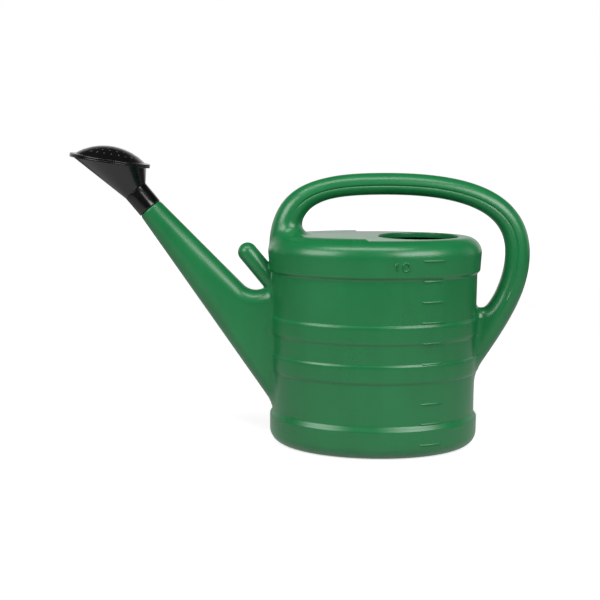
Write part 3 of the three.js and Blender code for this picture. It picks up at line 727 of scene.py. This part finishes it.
def tank_inside():
    """The space in the tank with the way in through the filler: down its flared edge, round
    the turned-down lip, out under the top, down the side and over the base."""
    angles = full_turn(96)
    outer, upper = FILLER_RADIUS + FILLER_ROUND, TANK_HEIGHT - FILLER_ROUND
    edge = arc(outer, upper, FILLER_ROUND, 84, 180, steps=6)
    lower = TANK_HEIGHT - LIP_DROP + LIP_ROUND
    lip = arc(FILLER_RADIUS + LIP_ROUND, lower, LIP_ROUND, 180, 360, steps=8)
    hole = filler_ring(angles, [outer], [TANK_HEIGHT + FILLER_CLEAR])
    down = filler_ring(angles, *edge)
    turned = filler_ring(angles, *lip)
    above = filler_ring(angles, [FILLER_RADIUS + WALL], [TANK_HEIGHT - WALL])
    rim = arc(RIM_PROUD - RIM_RADIUS, TANK_HEIGHT - RIM_RADIUS, RIM_RADIUS - WALL, 90, 0, steps=8)
    heights = side_heights(step=14.0, finer=1.6, reach=1.6)[-2:0:-1]
    corner = arc(FOOT_PROUD - FOOT_RADIUS, FOOT_RADIUS, FOOT_RADIUS - WALL, 0, -60, steps=5)
    floor = RECESS_DEPTH + WALL
    side = [
        oval(angles, *rim),
        oval(angles, side_proud(heights) - WALL, heights),
        oval(angles, *corner),
        oval(angles, corner[0][-1] - FLOOR_INSET, floor, scale=np.linspace(1, 0.1, 8)),
    ]
    top = ring_blend(above[0], side[0][0], shares=np.linspace(0, 1, 9)[:-1])
    return solid("tank_inside", [np.concatenate([hole, down, turned, top, *side])])


def spout_bore():
    """The water's way through the spout and the spigot, with the spigot's mouth eased."""
    columns = 48
    bore = SPIGOT_RADIUS - WALL
    mouth = arc(bore + MOUTH_ROUND, SPIGOT_LENGTH - MOUTH_ROUND, MOUTH_ROUND, 100, 180, steps=4)
    beyond, straight, widened = SPIGOT_LENGTH + MOUTH_CLEAR, [10.0, -2.0], -5.0
    rows = spout_grid(skin=WALL, straight_rows=16, round_rows=12, columns=columns)
    rings = [
        spout_round([SPIGOT_RADIUS - MOUTH_FLARE], [beyond], columns),
        spout_round(*mouth, columns),
        spout_round(bore, straight, columns),
        spout_round([SPOUT_HALF - WALL], [widened], columns),
        settled(rows[2:-1], lambda p: spout_distance(p) + WALL, steps=6),
        rows[-1:],
    ]
    return solid("spout_bore", [np.concatenate(rings)])


def grip_bore():
    """The hollow in the grip, which opens into the tank at the root."""
    angles = np.linspace(-np.pi, np.pi, 24, endpoint=False)
    return solid("grip_bore", [grip_grid(np.linspace(0, GRIP_BORE_ENDS, 60), angles, GRIP_WALL)])


def base_recesses():
    """Two shallow recesses under the base. Each outline is r(a) about its middle, from
    (e^-p + l^-p)^(-1/p) of an ellipse e and a straight edge l, which rounds the corners. The
    straight edge is far off where the ray to it is level or turned away."""
    angle = full_turn(120)
    long, wide = HALF_LENGTH - RECESS_RING, HALF_WIDTH - RECESS_RING
    middle = RECESS_MIDDLE * wide
    cos, sin = np.cos(angle), np.sin(angle)
    square = (cos / long) ** 2 + (sin / wide) ** 2
    half = middle * sin / wide**2
    ellipse = (-half + np.sqrt(half**2 + square * (1 - (middle / wide) ** 2))) / square
    level, far = -0.02, 1e4
    edge = np.where(sin < level, (RECESS_LAND - middle) / np.minimum(sin, level), far)
    outline = (ellipse**-RECESS_POWER + edge**-RECESS_POWER) ** (-1 / RECESS_POWER)
    radius = outline[None] * (1 - RECESS_INSETS[:, None] / outline.mean())
    x, y = radius * cos, middle + radius * sin
    z = np.broadcast_to(RECESS_HEIGHTS[:, None], x.shape)
    return solid("base_recesses", [np.stack([x, y, z], -1), np.stack([x, -y, z], -1)])


def worked(body, tools):
    """The body after each tool in turn has been joined to it, cut from it or kept in it."""
    for tool, way in tools:
        change = body.modifiers.new(tool.name, "BOOLEAN")
        change.object = tool
        change.operation = way
        change.solver = "MANIFOLD"
    shaped = body.evaluated_get(bpy.context.evaluated_depsgraph_get())
    mesh = bpy.data.meshes.new_from_object(shaped)
    body.modifiers.clear()
    body.data = mesh
    for tool, _ in tools:
        bpy.data.objects.remove(tool)
    return body


def rounded_join(first, second, fillet):
    """One surface from two: the smaller distance, less k h^2/4 with h = max(1 - |a-b|/k, 0),
    which fills the corner between them with a hollow round about k in radius."""
    share = np.maximum(1 - np.abs(first - second) / fillet, 0)
    return np.minimum(first, second) - fillet * share**2 / 4


def forms_distance(p):
    """Distance outside the moulding with every join rounded, and with none: the smallest
    distance of its forms. The grip's round is small at the rim's edge and grows inwards."""
    ways = (tank_distance, grip_distance, web_distance, spout_distance, peg_distance)
    forms = [distance(p) for distance in ways]
    root = ROOT_FILLET + (GRIP_FILLET - ROOT_FILLET) * eased(p[:, 0], *ROOT_FILLET_GROWS)
    grip_fillet = np.where(p[:, 0] < 0, root, WEB_FILLET)
    rounded = forms[0]
    for form, fillet in zip(forms[1:], (grip_fillet, WEB_FILLET, SPOUT_FILLET, PEG_FILLET)):
        rounded = rounded_join(rounded, form, fillet)
    return rounded, np.minimum.reduce(forms)


def rounded_distance(p):
    """Distance outside the moulding with every join rounded."""
    return forms_distance(p)[0]


def joins_of(mesh):
    """A mesh's points in millimetres, which of them lie on the outside in a join's round,
    and the two ends of each edge."""
    points = np.empty((len(mesh.vertices), 3), np.float32)
    mesh.vertices.foreach_get("co", points.ravel())
    ends = np.empty((len(mesh.edges), 2), np.int32)
    mesh.edges.foreach_get("vertices", ends.ravel())
    points = points.astype(float) / TO_METRES
    rounded, plain = forms_distance(points)
    return points, (np.abs(plain) < JOIN_REACH) & (rounded < plain - JOIN_LEAST), ends


def neighbour_means(points, ends):
    """For each point, the sum of the points at the far ends of its edges over their number."""
    near, far = ends.ravel(), ends[:, ::-1].ravel()
    sums = [np.bincount(near, points[far, axis], len(points)) for axis in range(3)]
    return np.stack(sums, -1) / np.bincount(near, minlength=len(points))[:, None]


def round_joins(mesh):
    """Rounds each join of the outside. Edges there that are longer than the first of two
    lengths, and then the second, are halved. The points are moved onto the rounded surface,
    and evened out over it by turns of averaging with their neighbours and moving back."""
    shape = bmesh.new()
    shape.from_mesh(mesh)
    bmesh.ops.triangulate(shape, faces=shape.faces[:], quad_method="SHORT_EDGE")
    for longest in JOIN_EDGES:
        shape.to_mesh(mesh)
        points, join, ends = joins_of(mesh)
        length = np.linalg.norm(points[ends[:, 0]] - points[ends[:, 1]], axis=1)
        chosen = np.flatnonzero((length > longest) & join[ends].any(1))
        shape.edges.ensure_lookup_table()
        bmesh.ops.subdivide_edges(shape, edges=[shape.edges[i] for i in chosen], cuts=1)
        parted = [face for face in shape.faces if len(face.verts) > 3]
        bmesh.ops.triangulate(shape, faces=parted, quad_method="SHORT_EDGE")
    shape.to_mesh(mesh)
    shape.free()
    points, join, ends = joins_of(mesh)
    points[join] = settled(points[join], rounded_distance, steps=8)
    for _ in range(EVENING_TURNS):
        middle = neighbour_means(points, ends)[join]
        evened = (1 - EVENING_SHARE) * points[join] + EVENING_SHARE * middle
        points[join] = settled(evened, rounded_distance, steps=1)
    points[join] = settled(points[join], rounded_distance, steps=2)
    mesh.vertices.foreach_set("co", (points * TO_METRES).ravel())
    mesh.update()


tall, step = top_panel()
panel = worked(tall, [(step, "INTERSECT")])
can = worked(tank_outside(), [
    (panel, "UNION"), (grip(), "UNION"), (web(), "UNION"), (spout(), "UNION"), (peg(), "UNION"),
    (litre_marks(), "UNION"), (nought(), "UNION"),
    (tank_inside(), "DIFFERENCE"), (spout_bore(), "DIFFERENCE"),
    (grip_bore(), "DIFFERENCE"), (base_recesses(), "DIFFERENCE"),
])
round_joins(can.data)
can.data.shade_smooth()
can.data.set_sharp_from_angle(angle=np.radians(SHARP_FROM))


def operator(way, turned=False):
    """A method of a socket that adds a Math node for an operator, or its reflected form."""
    def reckon(self, other):
        first, second = (other, self) if turned else (self, other)
        return self.finish.node("ShaderNodeMath", {"operation": way}, {0: first, 1: second})
    return reckon


class Flow:
    """A shader socket that can be reckoned with: its operators add Math nodes."""

    __add__, __radd__ = operator("ADD"), operator("ADD", turned=True)
    __sub__, __rsub__ = operator("SUBTRACT"), operator("SUBTRACT", turned=True)
    __mul__, __rmul__ = operator("MULTIPLY"), operator("MULTIPLY", turned=True)

    def __init__(self, finish, socket):
        self.finish = finish
        self.socket = socket

    def __abs__(self):
        return self.finish.node("ShaderNodeMath", {"operation": "ABSOLUTE"}, {0: self})

    def between(self, low, high):
        """Goes from 0 at low to 1 at high as 3t^2 - 2t^3, where t is the share of the way."""
        sockets = {"Value": self, "From Min": low, "From Max": high}
        return self.finish.node("ShaderNodeMapRange", {"interpolation_type": "SMOOTHSTEP"}, sockets)


class Finish:
    """The nodes of one material or of the world, from an empty tree."""

    def __init__(self, owner):
        owner.use_nodes = True
        self.owner = owner
        self.tree = owner.node_tree
        self.tree.nodes.clear()

    def node(self, kind, settings=None, sockets=None, out=0):
        """Adds a node of a kind: its settings first, then a value or a link for each socket.
        Gives the output with that name or number."""
        made = self.tree.nodes.new(kind)
        for name, value in (settings or {}).items():
            setattr(made, name, value)
        for name, value in (sockets or {}).items():
            if isinstance(value, Flow):
                self.tree.links.new(value.socket, made.inputs[name])
            else:
                made.inputs[name].default_value = value
        return Flow(self, made.outputs[out]) if made.outputs else None

    def mixed(self, share, first, second):
        """A colour between two others, by share."""
        sockets = {0: share, 6: first, 7: second}
        return self.node("ShaderNodeMix", {"data_type": "RGBA"}, sockets, out=2)

    def noise(self, place, scale, detail, rough):
        """Cloudy noise from 0 to 1, with about scale clouds to a metre."""
        sockets = {"Vector": place, "Scale": scale, "Detail": detail, "Roughness": rough}
        return self.node("ShaderNodeTexNoise", {}, sockets)

    def ray(self, kind):
        """1 for a ray of that kind and 0 for any other."""
        return self.node("ShaderNodeLightPath", out=f"Is {kind} Ray")

    def plastic(self, colour, roughness, height, strength, distance):
        """Closes a material as a plastic whose skin stands up by the height, and gives it."""
        relief = {"Strength": strength, "Distance": distance, "Height": height}
        bump = self.node("ShaderNodeBump", {}, relief)
        sockets = {"Base Color": colour, "Roughness": roughness, "Normal": bump, "IOR": PLASTIC_IOR}
        surface = self.node("ShaderNodeBsdfPrincipled", {}, sockets)
        self.node("ShaderNodeOutputMaterial", {}, {"Surface": surface})
        return self.owner


def green_polyethylene():
    """Satin polyethylene: cloudy green, a fine orange-peel skin, faint flow streaks down the
    wall, the mould's parting ridge along y = 0, and a foot dulled where it has been set
    down. The lengths in a finish are in metres."""
    finish = Finish(bpy.data.materials.new("green_polyethylene"))
    place = finish.node("ShaderNodeTexCoord", out="Object")
    y, z = (finish.node("ShaderNodeSeparateXYZ", {}, {0: place}, out=axis) for axis in "YZ")
    stretched = finish.node("ShaderNodeMapping", {}, {"Vector": place, "Scale": (1.0, 1.0, 0.18)})
    cloud = finish.noise(place, scale=9.0, detail=3.0, rough=0.55)
    streak = finish.noise(stretched, scale=60.0, detail=2.0, rough=0.5)
    grain = finish.noise(place, scale=900.0, detail=2.0, rough=0.5)
    peel = finish.noise(place, scale=240.0, detail=2.0, rough=0.45)
    scuff = finish.noise(place, scale=130.0, detail=4.0, rough=0.7)
    scuffed = z.between(SCUFFS_REACH, 0.0) * scuff.between(0.45, 0.62)
    cloudy = cloud.between(0.3, 0.7)
    tone = cloudy * 0.7 + streak.between(0.35, 0.65) * 0.3
    green = finish.mixed(tone, GREEN_DEEP, GREEN_PALE)
    green = finish.mixed(scuffed * 0.5, green, GREEN_SCUFFED)
    dull = GREEN_ROUGHNESS + cloudy * 0.04 + grain * 0.05 + scuffed * 0.2
    ridge = abs(y).between(*RIDGE_EDGES)
    height = peel * 0.5 + grain * 0.12 + streak * 0.25 + ridge * 1.6
    return finish.plastic(green, dull, height, strength=0.35, distance=GREEN_SKIN)


can.name = "can_moulding"
can.data.materials.clear()
can.data.materials.append(green_polyethylene())
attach(can, "can")
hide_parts("can_body")

# ---- Rose socket -----------------------------------------------------------------------
# The neck of the black rose: a polypropylene sleeve that slides over the spigot until its
# inner ledge meets the spigot's end, and grips it by friction.

ROSE_GAP = 0.3
NECK_RADIUS = 16.5
SOCKET_LENGTH = 29.0
SOCKET_STOP = 1.4
CORNER_STEPS = 4
CORNER_SHARE = 0.45
BLACK_DEEP = (0.0022, 0.0022, 0.0026, 1)
BLACK_PALE = (0.0038, 0.0038, 0.0044, 1)
BLACK_ROUGHNESS = 0.15
BLACK_SKIN = 0.0001


def rounded(outline):
    """A closed outline of (across, along, radius) with each corner c turned into
    (1-t)^2 a + 2t(1-t) c + t^2 b, where a and b lie at the radius before and after it, or
    nearly midway if the side is short."""
    corners, radius = np.split(np.array(outline), [2], axis=1)
    t = np.linspace(0, 1, CORNER_STEPS + 1)[None, :, None]
    before = np.roll(corners, 1, axis=0) - corners
    after = np.roll(corners, -1, axis=0) - corners
    start, end = (
        corners + way * np.minimum(radius / np.linalg.norm(way, axis=1)[:, None], CORNER_SHARE)
        for way in (before, after)
    )
    start, end, corner = start[:, None], end[:, None], corners[:, None]
    return ((1 - t) ** 2 * start + 2 * t * (1 - t) * corner + t**2 * end).reshape(-1, 2)


def rose_socket():
    """The sleeve: a rounded outline of (radius, distance) carried round the spout's axis,
    with two points more along its outer side and one along its bore."""
    third, middle = 10, 12
    bore = SPIGOT_RADIUS + ROSE_GAP
    ledge = SPIGOT_RADIUS - SOCKET_STOP
    stop = SPIGOT_LENGTH + ROSE_GAP
    outline = rounded([
        (bore, ROSE_GAP, 0.5), (NECK_RADIUS, ROSE_GAP, 0.8),
        (NECK_RADIUS, third, 0.8), (NECK_RADIUS, 2 * third, 0.8), (NECK_RADIUS, SOCKET_LENGTH, 0.3),
        (ledge, SOCKET_LENGTH, 0.3), (ledge, stop, 0.3), (bore, stop, 0.3), (bore, middle, 0.5),
    ])
    return solid("rose_neck", [spout_round(*outline.T, columns=128)], looped=True)


def black_polypropylene():
    """Half-gloss black polypropylene: hardly any colour, a fine skin, and faint dulling where
    fingers and water have been."""
    finish = Finish(bpy.data.materials.new("black_polypropylene"))
    place = finish.node("ShaderNodeTexCoord", out="Object")
    cloud = finish.noise(place, scale=35.0, detail=4.0, rough=0.6)
    grain = finish.noise(place, scale=1400.0, detail=2.0, rough=0.5)
    black = finish.mixed(cloud.between(0.35, 0.65), BLACK_DEEP, BLACK_PALE)
    dull = BLACK_ROUGHNESS + cloud.between(0.3, 0.7) * 0.05 + grain * 0.04
    height = grain * 0.3 + cloud * 0.5
    return finish.plastic(black, dull, height, strength=0.15, distance=BLACK_SKIN)


black_moulding = black_polypropylene()
neck = rose_socket()
neck.data.shade_smooth()
neck.data.materials.append(black_moulding)
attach(neck, "rose_socket")
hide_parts("rose_socket")

# ---- Rose funnel -----------------------------------------------------------------------
# The same black moulding opens from the neck, askew, to a flat rim: every straight line
# down its side runs from the round neck to the round rim.

ROSE_REACH = 81.5
ROSE_TILT = np.radians(9.0)
ROSE_UP = np.array([np.sin(ROSE_TILT), np.cos(ROSE_TILT)])
ROSE_ACROSS = np.array([np.cos(ROSE_TILT), -np.sin(ROSE_TILT)])
ROSE_CENTRE = SPOUT_END + ROSE_REACH * SPOUT_OUT
ROSE_RADIUS = 52.4
ROSE_LIP = 4.6
ROSE_WALL = 1.8
ROSE_FLANGE = 2.3
ROSE_FOOT = 0.6


def rose_round(radius, height, columns):
    """Rings parallel to the rose's rim at a height over its middle."""
    return rings_along(ROSE_CENTRE, ROSE_UP, ROSE_ACROSS, radius, height, columns)


def rose_funnel():
    """Ruled walls outside and inside, (1 - t) of a neck ring and t of a rim ring, joined by
    the flange's rounded edge at the rim and by a flat ring at the neck."""
    columns = 144
    seam = -ROSE_GAP / 2
    mouth = ROSE_RADIUS - ROSE_LIP
    start = spout_round([NECK_RADIUS], [SOCKET_LENGTH + ROSE_GAP], columns)[0]
    wide = rose_round([mouth], [seam - ROSE_FLANGE], columns)[0]
    inner_start = spout_round([NECK_RADIUS - ROSE_WALL], [SOCKET_LENGTH + ROSE_GAP], columns)[0]
    inner_wide = rose_round([mouth - ROSE_WALL], [seam - ROSE_FLANGE], columns)[0]
    edge = rounded([
        (mouth + ROSE_FOOT, seam - ROSE_FLANGE, 0), (ROSE_RADIUS, seam - ROSE_FLANGE, 0.7),
        (ROSE_RADIUS, seam, 0.5), (mouth - ROSE_WALL, seam, 0.2),
    ])[CORNER_STEPS + 1:]
    down = stations(0, 1, step=0.045, places=[0, 1], finer=0.02, reach=0.03)
    wall = ring_blend(start, wide, shares=down)
    back = ring_blend(inner_wide, inner_start, shares=np.linspace(0, 1, 10))
    rings = np.concatenate([wall, rose_round(*edge.T, columns), back])
    return solid("rose_bell", [rings], looped=True)


bell = rose_funnel()
bell.data.shade_smooth()
bell.data.materials.append(black_moulding)
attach(bell, "rose_head")
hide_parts("rose_funnel")

# ---- Rose face -------------------------------------------------------------------------
# A thin black dome with its own flange, clipped into the funnel's rim. Its 61 small holes
# stand in rings about one in the middle, with edges eased by the moulding pins.

DOME_RADIUS = 46.0
DOME_RISE = 16.1
DOME_FOOT = 0.9
DOME_SPHERE = (DOME_RADIUS**2 + DOME_RISE**2) / (2 * DOME_RISE)
HOLE_RADIUS = 1.0
HOLE_PITCH = 9.0
HOLE_RINGS = 4
PIN_RADII = HOLE_RADIUS * np.array([1, 1, 1.03, 1.1, 1.3])
PIN_HEIGHTS = np.array([-6.0, -0.55, -0.2, 0.05, 0.45])


def dome_height(radius, skin=0.0):
    """Height of the dome at a radius: a sphere of radius R, sqrt(R^2 - r^2) - R + rise."""
    sphere = DOME_SPHERE - skin
    base = ROSE_GAP / 2 + ROSE_FLANGE + DOME_RISE - DOME_SPHERE
    return base + np.sqrt(sphere**2 - np.minimum(radius, sphere) ** 2)


def rose_face():
    """The dome's outside, the flange's rounded edge and the dome's inside as one grid."""
    seam = ROSE_GAP / 2
    top = seam + ROSE_FLANGE
    inmost, spare, rise = 0.6, 0.2, 0.25
    outer = stations(inmost, DOME_RADIUS - 2 * spare, step=1.7)
    inside = DOME_RADIUS - 2 * ROSE_WALL
    flange = rounded([
        (DOME_RADIUS - spare, top + rise, 0), (DOME_RADIUS + DOME_FOOT, top, 0.5),
        (ROSE_RADIUS, top, 0.7), (ROSE_RADIUS, seam, 0.5), (inside, seam, 0.3),
    ])[CORNER_STEPS + 1:]
    inner = np.linspace(inside - spare, inmost, 16)
    profile = np.concatenate([
        np.stack([outer, dome_height(outer)], -1),
        flange,
        np.stack([inner, dome_height(inner, ROSE_WALL)], -1),
    ])
    return solid("rose_dome", [rose_round(*profile.T, 144)])


def face_pins():
    """Pins for the holes, square to the rim: each widens where it leaves the dome."""
    counts = 6 * np.arange(1, HOLE_RINGS + 1)
    ring = np.repeat(counts // 6, counts)
    turn = np.concatenate([2 * np.pi * np.arange(count) / count for count in counts])
    across = np.concatenate([[0], ring * HOLE_PITCH * np.cos(turn)])
    side = np.concatenate([[0], ring * HOLE_PITCH * np.sin(turn)])
    level = dome_height(np.hypot(across, side))
    around = full_turn(16)
    u = across[:, None, None] + PIN_RADII[None, :, None] * np.cos(around)
    v = side[:, None, None] + PIN_RADII[None, :, None] * np.sin(around)
    h = np.broadcast_to((level[:, None] + PIN_HEIGHTS)[:, :, None], u.shape)
    x = ROSE_CENTRE[0] + u * ROSE_ACROSS[0] + h * ROSE_UP[0]
    z = ROSE_CENTRE[1] + u * ROSE_ACROSS[1] + h * ROSE_UP[1]
    return solid("face_pins", list(np.stack([x, v, z], -1)))


face = worked(rose_face(), [(face_pins(), "DIFFERENCE")])
face.data.shade_smooth()
face.data.materials.clear()
face.data.materials.append(black_moulding)
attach(face, "rose_head")
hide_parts("rose_face")

# ---- Studio ----------------------------------------------------------------------------
# A white floor under a white sky, with a soft box on each side in front of the can and a
# long one above it. The camera looks down a little at its side, from the height of the rose.
# Places and sizes here are in metres, and the camera's angles in radians.

LAMP_AIM = Vector((-0.07, 0.0, 0.2))
WHITE = (1, 1, 1, 1)
SKY_LIGHT = 0.09
SKY_MIRRORED_LESS = 0.06
SKY_WALL_BEHIND = (-0.2, 0.4)
SKY_WALL_LOW = (0.6, 0.2)
FLOOR_HALF = 6.0
FLOOR_FAR = (0.5, 3.0)
FLOOR_NEAR = (1.5, 0.2)
FLOOR_LIT = (0.8, 0.8, 0.8, 1)
FLOOR_DIM = (0.36, 0.36, 0.36, 1)
FLOOR_GLOW = 0.66
FLOOR_GLOW_FAR = 0.4
FLOOR_SHINE = 0.45
CAMERA_LENS = 54.1
CAMERA_SENSOR = 36
CAMERA_PLACE = (-0.0473, -1.1918, 0.3825)
CAMERA_DOWN = 0.1577
CAMERA_ASIDE = 0.0430

scene = bpy.context.scene
scene.view_settings.view_transform = "Standard"


def lamp(name, width, height, place, power):
    """A soft box of that size in metres, facing the can."""
    light = bpy.data.lights.new(name, "AREA")
    light.shape = "RECTANGLE"
    light.size = width
    light.size_y = height
    light.energy = power
    made = bpy.data.objects.new(name, light)
    scene.collection.objects.link(made)
    made.location = place
    made.rotation_euler = (LAMP_AIM - made.location).to_track_quat("-Z", "Y").to_euler()


lamp("soft_box_left", width=0.8, height=0.65, place=(-1.0, -0.9, 0.9), power=12.5)
lamp("soft_box_right", width=0.9, height=0.6, place=(0.8, -1.05, 0.9), power=15.0)
lamp("soft_box_above", width=1.1, height=0.28, place=(-0.12, -0.5, 1.3), power=7.5)

# The sky is white to the camera, and gives the can only a little light. In the can's gloss
# it is nearly dark, but for a white wall low down behind the can.
scene.world = bpy.data.worlds.new("room")
sky = Finish(scene.world)
way = sky.node("ShaderNodeTexCoord", out="Generated")
behind = sky.node("ShaderNodeSeparateXYZ", {}, {0: way}, out="Y").between(*SKY_WALL_BEHIND)
low = sky.node("ShaderNodeSeparateXYZ", {}, {0: way}, out="Z").between(*SKY_WALL_LOW)
seen = sky.ray("Camera") + sky.ray("Transmission")
mirrored = sky.ray("Glossy") * (behind * low - SKY_MIRRORED_LESS)
strength = SKY_LIGHT + mirrored + seen * (1 - SKY_LIGHT)
shell = sky.node("ShaderNodeBackground", {}, {"Color": WHITE, "Strength": strength})
sky.node("ShaderNodeOutputWorld", {}, {"Surface": shell})

# To the camera the floor is white paper with a glow of its own. It throws less light up to
# the can, and in the can's gloss it glows only close round the can.
corners = [(x * FLOOR_HALF, y * FLOOR_HALF, 0) for x, y in ((-1, -1), (1, -1), (1, 1), (-1, 1))]
floor_mesh = bpy.data.meshes.new("floor")
floor_mesh.from_pydata(corners, [], [(0, 1, 2, 3)])
floor = bpy.data.objects.new("floor", floor_mesh)
scene.collection.objects.link(floor)
paper = Finish(bpy.data.materials.new("white_paper"))
spot = paper.node("ShaderNodeTexCoord", out="Object")
reach = paper.node("ShaderNodeVectorMath", {"operation": "LENGTH"}, {0: spot}, out="Value")
far, near = reach.between(*FLOOR_FAR), reach.between(*FLOOR_NEAR)
glow = FLOOR_GLOW + far * FLOOR_GLOW_FAR
glow = paper.node("ShaderNodeEmission", {}, {"Color": WHITE, "Strength": glow})
shine = paper.node("ShaderNodeEmission", {}, {"Color": WHITE, "Strength": near * FLOOR_SHINE})
plain = paper.node("ShaderNodeBsdfDiffuse", {}, {"Color": FLOOR_LIT})
dim = paper.node("ShaderNodeBsdfDiffuse", {}, {"Color": FLOOR_DIM})
lit = paper.node("ShaderNodeAddShader", {}, {0: plain, 1: glow})
close = paper.node("ShaderNodeAddShader", {}, {0: dim, 1: shine})
bounced = paper.node("ShaderNodeMixShader", {}, {0: paper.ray("Glossy"), 1: dim, 2: close})
seen = paper.ray("Camera") + paper.ray("Transmission")
shown = paper.node("ShaderNodeMixShader", {}, {0: seen, 1: bounced, 2: lit})
paper.node("ShaderNodeOutputMaterial", {}, {"Surface": shown})
floor_mesh.materials.append(paper.owner)

camera = bpy.data.cameras.new("camera")
camera.lens = CAMERA_LENS
camera.sensor_width = CAMERA_SENSOR
view = bpy.data.objects.new("camera", camera)
scene.collection.objects.link(view)
view.location = CAMERA_PLACE
view.rotation_euler = (np.pi / 2 - CAMERA_DOWN, 0, CAMERA_ASIDE)
scene.camera = view
